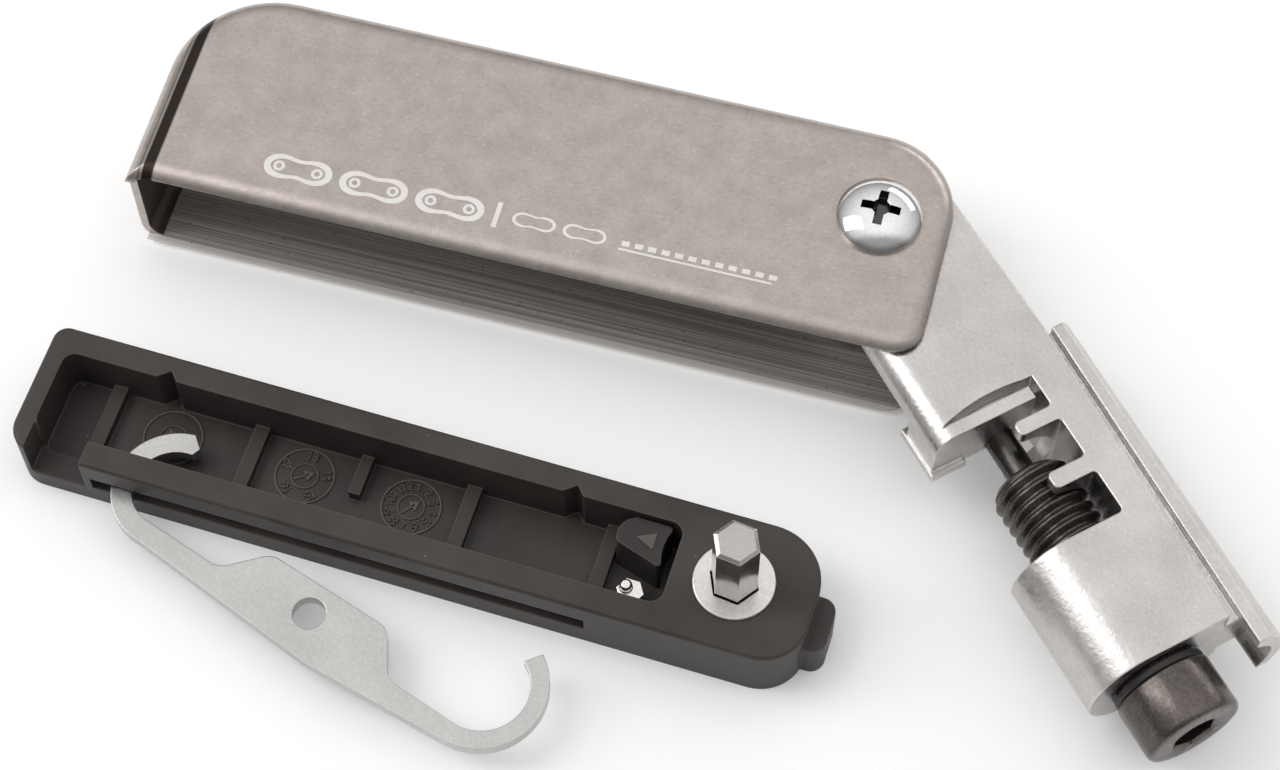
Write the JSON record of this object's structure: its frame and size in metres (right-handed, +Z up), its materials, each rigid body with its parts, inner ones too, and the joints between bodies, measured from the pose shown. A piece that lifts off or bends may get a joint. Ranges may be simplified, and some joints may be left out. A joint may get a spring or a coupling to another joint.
{
  "type": "folding bicycle chain tool",
  "caption": "Folding chain tool: a sheet steel handle with a hinged chain breaker, and a storage tray that carries a hex bit and a chain hook.",
  "frame": {"origin": "on the fold axis, level with the handle's underside", "axes": "+X to the right along the laid-out set, +Y away from the open side of the handle, +Z up along the fold axis"},
  "size_m": [0.1479, 0.0983, 0.02],
  "materials": {
    "case_steel": "satin brushed stainless steel",
    "screw_chrome": "polished",
    "post_steel": "turned",
    "washer_steel": "plain",
    "breaker_nickel": "satin nickel on a cast body",
    "pin_steel": "hardened, dark",
    "black_oxide": "black oxide, oiled",
    "ring_rubber": "smooth",
    "tray_nylon": "moulded, satin",
    "bit_nickel": "polished nickel",
    "disc_steel": "satin",
    "cap_nylon": "moulded, satin",
    "spare_steel": "bright",
    "hook_steel": "satin stainless steel"
  },
  "bodies": {
    "handle": {"handle_shell": "case_steel", "pivot_screw": "screw_chrome", "pivot_post": "post_steel", "washer_upper": "washer_steel", "washer_lower": "washer_steel"},
    "breaker": {"breaker_body": "breaker_nickel"},
    "pin": {"breaker_pin": "pin_steel"},
    "screw": {"drive_screw": "black_oxide", "head_ring": "ring_rubber"},
    "cover": {"tray": "tray_nylon", "hex_bit": "bit_nickel", "bit_disc": "disc_steel", "pin_cap": "cap_nylon", "spare_pin": "spare_steel", "pin_collar": "spare_steel"},
    "hook": {"chain_hook": "hook_steel"}
  },
  "joints": [
    {"name": "fold", "type": "hinge", "parent": "handle", "child": "breaker", "pos_m": [0, 0, 0], "axis": [0, 0, 1], "range_deg": [-133.2, 0]},
    {"name": "pin_feed", "type": "slide", "parent": "breaker", "child": "pin", "axis": [0.4726, -0.8813, 0], "range_m": [0, 0.014]},
    {"name": "screw_spin", "type": "hinge", "parent": "pin", "child": "screw", "pos_m": [0, 0, 0.0085], "axis": [0.4726, -0.8813, 0], "range_deg": [0, 3400]},
    {"name": "tray_aside", "type": "hinge", "parent": "handle", "child": "cover", "pos_m": [-0.10167, -0.0183, 0], "axis": [0, 0, 1], "range_deg": [-93.3, 0]},
    {"name": "hook_swing", "type": "hinge", "parent": "cover", "child": "hook", "pos_m": [-0.09845, -0.03083, 0], "axis": [0, 0, 1], "range_deg": [0, 17.3]}
  ],
  "couplings": [
    {"joint": "screw_spin", "follows": "pin_feed", "rad_per_m": 4188.8},
    {"joint": "tray_aside", "follows": "fold", "ratio": 0.7}
  ]
}
